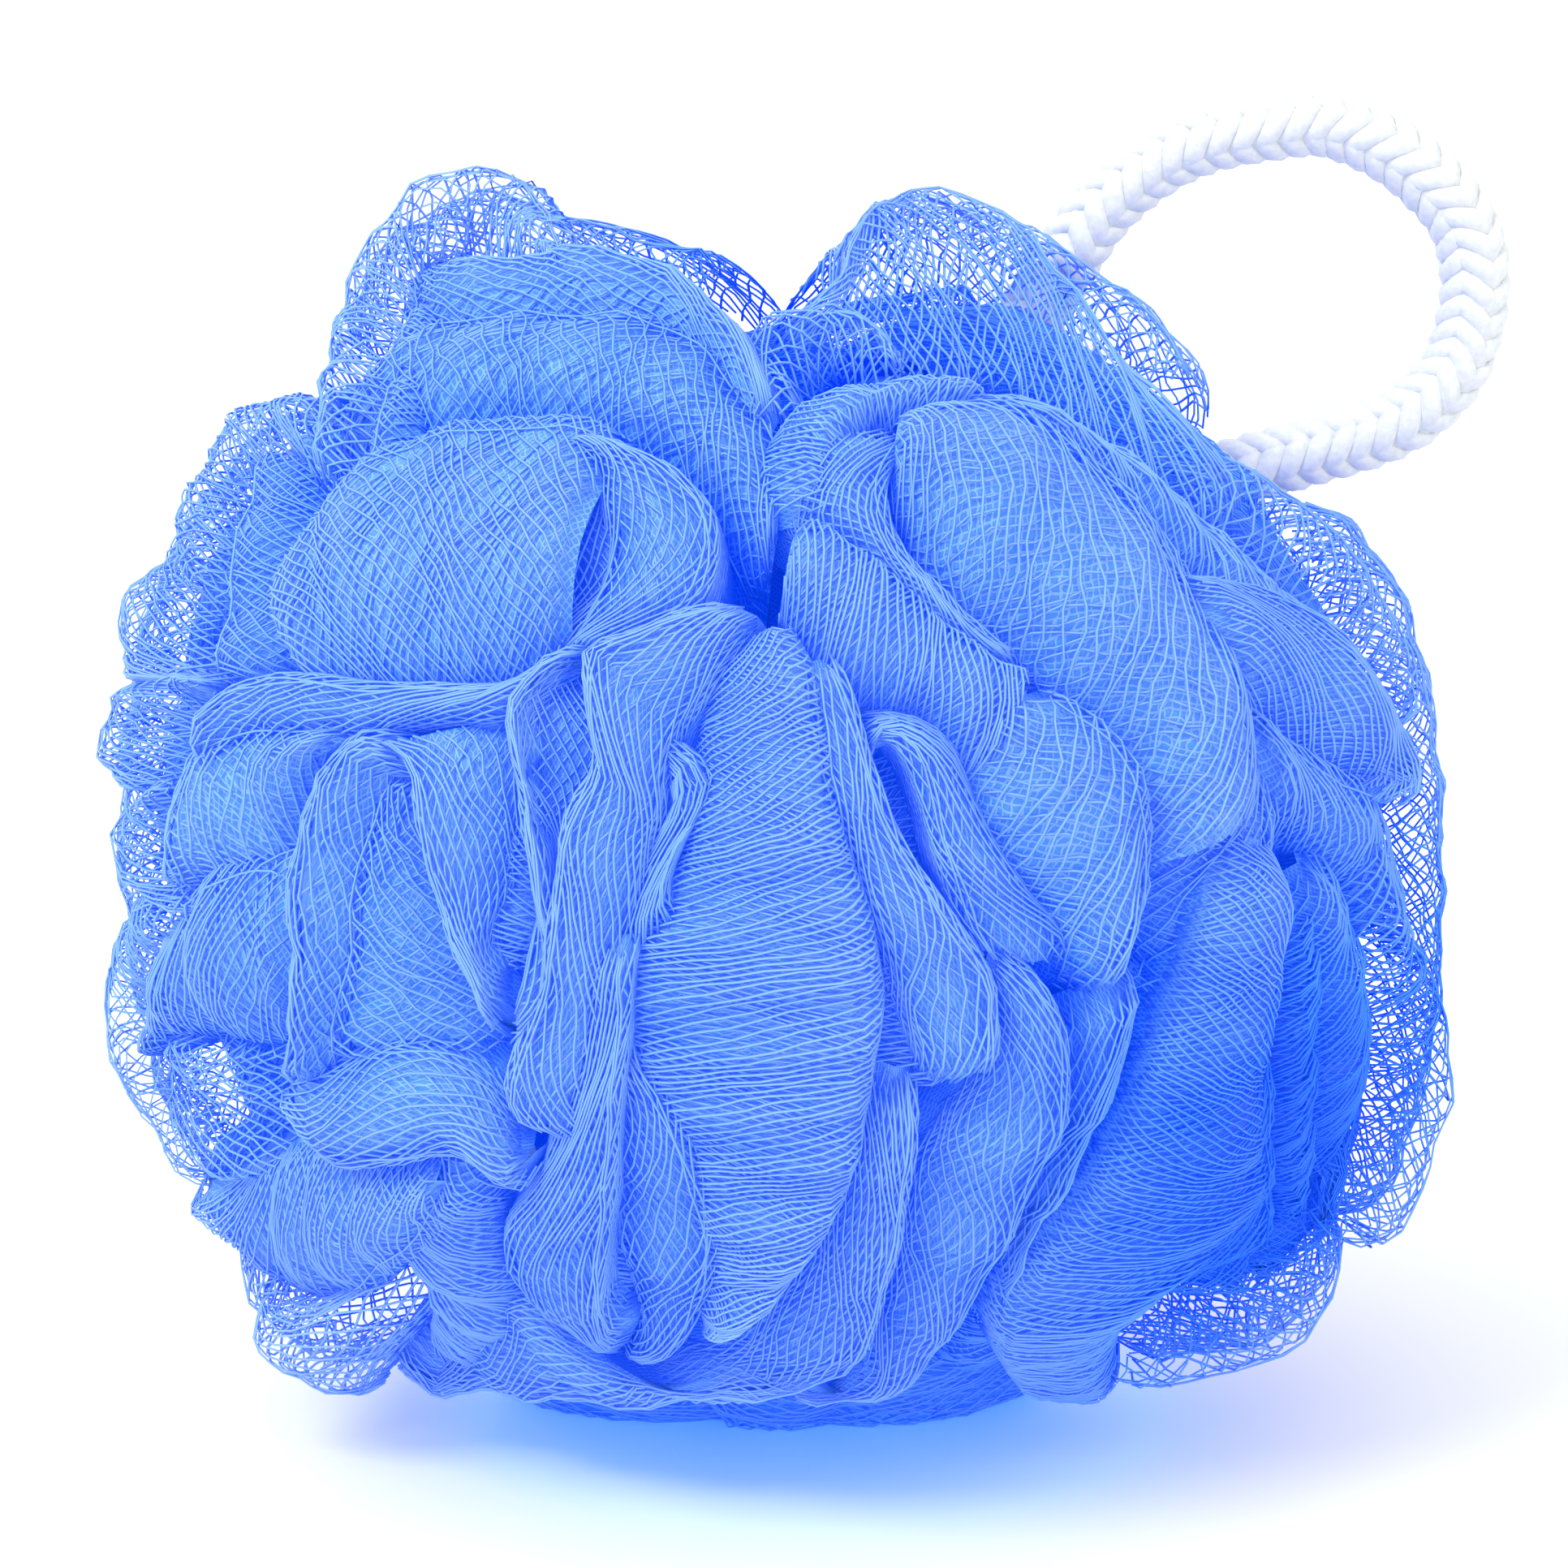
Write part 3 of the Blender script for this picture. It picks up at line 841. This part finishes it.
def layer_material():
    """The next layer of netting: its lattice in colour and relief, over the blue below it."""
    nodes = Nodes("net_layer")
    lattice = nodes.axes(nodes.add("TexCoord").outputs["UV"])
    lines = []
    for axis, scale in LATTICE_NOISE.items():
        value = nodes.math("MULTIPLY_ADD", nodes.noise(scale), LATTICE_STRAY, lattice[axis])
        wave = nodes.math("PINGPONG", nodes.math("MULTIPLY", value, LATTICE_LINES), 0.5)
        lines.append(nodes.fade(wave, LATTICE_FADE, (1.0, 0.0)))
    cover = nodes.math("MAXIMUM", *lines)
    lightness = nodes.lightness()
    mix = nodes.add("Mix", {0: cover, "A": nodes.ramp(lightness, BLUE_STOPS, BETWEEN_BLUES),
                            "B": nodes.ramp(lightness, BLUE_STOPS, LATTICE_BLUES)}, data_type="RGBA")
    return nodes.finish({"Base Color": mix.outputs["Result"], "Roughness": 0.55,
                         "Normal": nodes.relief(cover, strength=0.6), **PASSED_LIGHT})


def yarn_material(name):
    """White twisted yarn with fine filaments."""
    nodes = Nodes(name)
    fibres = nodes.noise(scale=1500, detail=3.0)
    white = nodes.ramp(fibres, (0.3, 0.65), ((0.60, 0.64, 0.67), (0.70, 0.72, 0.73)))
    return nodes.finish({"Base Color": white, "Normal": nodes.relief(fibres, strength=0.3),
                         "Roughness": 0.65, "Sheen Weight": 0.2})


def floor_material():
    """Pale and plain, with the blue light that the netting passes on to the floor round it."""
    nodes = Nodes("floor")
    axes = nodes.axes(nodes.place)
    sides = [nodes.math("MULTIPLY_ADD", axes[axis], 1 / radius, -centre / radius)
             for axis, radius, centre in GLOW_ELLIPSE]
    squares = [nodes.math("MULTIPLY", side, side) for side in sides]
    glow = nodes.fade(nodes.math("SQRT", nodes.math("ADD", *squares)), GLOW_FADE)
    strength = nodes.math("MULTIPLY", nodes.math("MULTIPLY", glow, glow), GLOW_POWER)
    white = nodes.ramp(nodes.noise(scale=3), (0.3, 0.7), ((0.91, 0.92, 0.93), (0.93, 0.93, 0.93)))
    return nodes.finish({"Base Color": white, "Roughness": 0.7, "Emission Color": GLOW_LIGHT,
                         "Emission Strength": strength})


def make_cord():
    """The free cord, as in the CAD: from stub to stub. It is a herringbone braid, and each bundle
    is on top in every other quarter of the way round."""
    route = smooth_line(np.array(CORD_ROUTE) * MM + CENTRE_SHIFT, count=600)
    line = resample(route, count=400, cut=STUB_LENGTH + TOUCH_GAP)
    length = line_length(line)
    centre = smooth_line(line[::7], int(length / BRAID_STEP))
    distance = np.linspace(0, length, len(centre))
    tangent = unit(np.gradient(centre, axis=0))
    side = unit(np.cross(tangent, np.array((0.0, 1.0, 0.0))))
    front = np.cross(side, tangent)
    radius = CORD_DIAMETER / 2 - BUNDLE_HALF_HEIGHT - BUNDLE_LIFT / 2
    braid = Mesh()
    for way in (-1, 1):
        for number in range(BRAID_BUNDLES):
            turn = way * distance / BRAID_PITCH * 2 * math.pi + number / BRAID_BUNDLES * 2 * math.pi
            lift = way * np.sin(BRAID_BUNDLES / 2 * turn)
            lift = BUNDLE_LIFT * np.clip(lift * LIFT_STEEPNESS, *LIFT_ENDS)
            ring = np.cos(turn)[:, None] * side + np.sin(turn)[:, None] * front
            path = centre + (radius + lift)[:, None] * ring
            add_tubes(braid, path[None], np.ones((1, len(path)), bool), ring[None],
                      BUNDLE_HALF_WIDTH, BUNDLE_HALF_HEIGHT, BUNDLE_SIDES)
    made = braid.make("braided_cord", yarn_material("cord_yarn"), "cord")
    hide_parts("hanging_cord")


def region(middle):
    """The name of the piece of netting that a sheet belongs to."""
    x, y, z = middle.mean(axis=0) - BALL_CENTRE
    side = "left" if x < LEFT_OF else "right"
    if y > BACK_FROM:
        return "net_back_" + side
    if z < UNDER_TO:
        return "net_under"
    level = "upper" if z > UPPER_FROM else "middle" if z > MIDDLE_FROM else "lower"
    return "net_%s_%s" % (level, side)


def all_sheets():
    rng = np.random.default_rng(SEED)
    for style, bulge, high, low in SHEETS.values():
        yield Sheet(style, bulge, edge_points(high), edge_points(low), rng)
    for number in range(BACK_SHEETS):
        style = "veil" if number in BACK_SINGLE_SHEETS else "back"
        high, low = back_edge(number, 0, 0), back_edge(number, BACK_LOW_TURN, BACK_LOW_DROP)
        yield Sheet(style, BACK_BULGE, high, low, rng)


def make_middle(material):
    """The dense middle of the gathered netting, seen only in the deepest valleys."""
    columns, rows = 160, 80
    turn = np.linspace(0, 2 * math.pi, columns, endpoint=False)
    rise = np.linspace(-math.pi / 2, math.pi / 2, rows)
    turn, rise = np.meshgrid(turn, rise, indexing="ij")
    facing = facing_to(turn, rise)
    depth, number, sway = WIDE_FOLDS
    folds = depth * np.sin(turn * number + sway * np.sin(rise * sway)) * np.cos(rise)
    depth, number, lean = NARROW_FOLDS
    folds = folds + depth * np.sin(turn * number + rise * lean)
    from_gather = np.arccos(np.clip((facing * gather_axes()[0]).sum(axis=-1), -1, 1))
    dimple = GATHER_DIMPLE * np.exp(-(from_gather / GATHER_REACH) ** 2)
    size = MIDDLE_SHARE * outline_share(facing) + folds - dimple
    places = (BALL_CENTRE + facing * size[..., None] * BALL_RADII).reshape(-1, 3)
    index = np.arange(columns * rows).reshape(columns, rows)
    lattice = [((turn * np.cos(rise) + way * rise) * BALL_RADII[0] / (MIDDLE_LATTICE * MM)).ravel()
               for way in (-1, 1)]
    middle = Mesh()
    middle.add(places, grid_quads(index, np.roll(index, -1, axis=0)), lattice=np.stack(lattice, axis=-1))
    return middle.make("net_gathered_middle", material, "net")


def make_net():
    rng = np.random.default_rng(SEED)
    strand, layer = strand_material(), layer_material()
    regions = {}
    inner = Mesh()
    for sheet in all_sheets():
        add_strands(regions.setdefault(region(sheet.middle), Mesh()), sheet, rng)
        if sheet.next_layer:
            add_layer(inner, sheet)
    pieces = [mesh.make(name, strand, "net") for name, mesh in sorted(regions.items())]
    layers = inner.make("net_inner_layer", layer, "net")
    middle = make_middle(layer)
    for piece in pieces + [layers, middle]:
        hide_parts("mesh_net")


def dress_knot():
    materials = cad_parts["waist_knot"].data.materials
    materials.clear()
    materials.append(yarn_material("knot_yarn"))


def make_camera():
    data = bpy.data.cameras.new("camera")
    data.lens = 100
    data.sensor_width = 36
    data.clip_start = 0.01
    camera = put_object("camera", data)
    back = Vector((0, -math.cos(CAMERA_RISE), math.sin(CAMERA_RISE)))
    camera.location = CAMERA_AIM + back * CAMERA_DISTANCE
    camera.rotation_euler = (math.pi / 2 - CAMERA_RISE, 0, 0)
    bpy.context.scene.camera = camera


def make_stage():
    bpy.ops.mesh.primitive_plane_add(size=20, location=(0, 0, 0))
    floor = bpy.context.object
    floor.name = "floor"
    floor.data.materials.append(floor_material())


def make_light():
    world = bpy.data.worlds.new("studio")
    world.use_nodes = True
    background = world.node_tree.nodes["Background"]
    background.inputs["Color"].default_value = (1, 1, 1, 1)
    background.inputs["Strength"].default_value = 1.3
    bpy.context.scene.world = world
    bpy.context.scene.view_settings.view_transform = "Standard"
    data = bpy.data.lights.new("key", "AREA")
    data.shape = "DISK"
    data.size = 0.40
    data.energy = 5
    light = put_object("key", data)
    light.location = KEY_LIGHT_PLACE
    aim = Vector(BALL_CENTRE) - Vector(KEY_LIGHT_PLACE)
    light.rotation_euler = aim.to_track_quat("-Z", "Y").to_euler()


make_camera()
make_cord()
make_net()
dress_knot()
make_stage()
make_light()
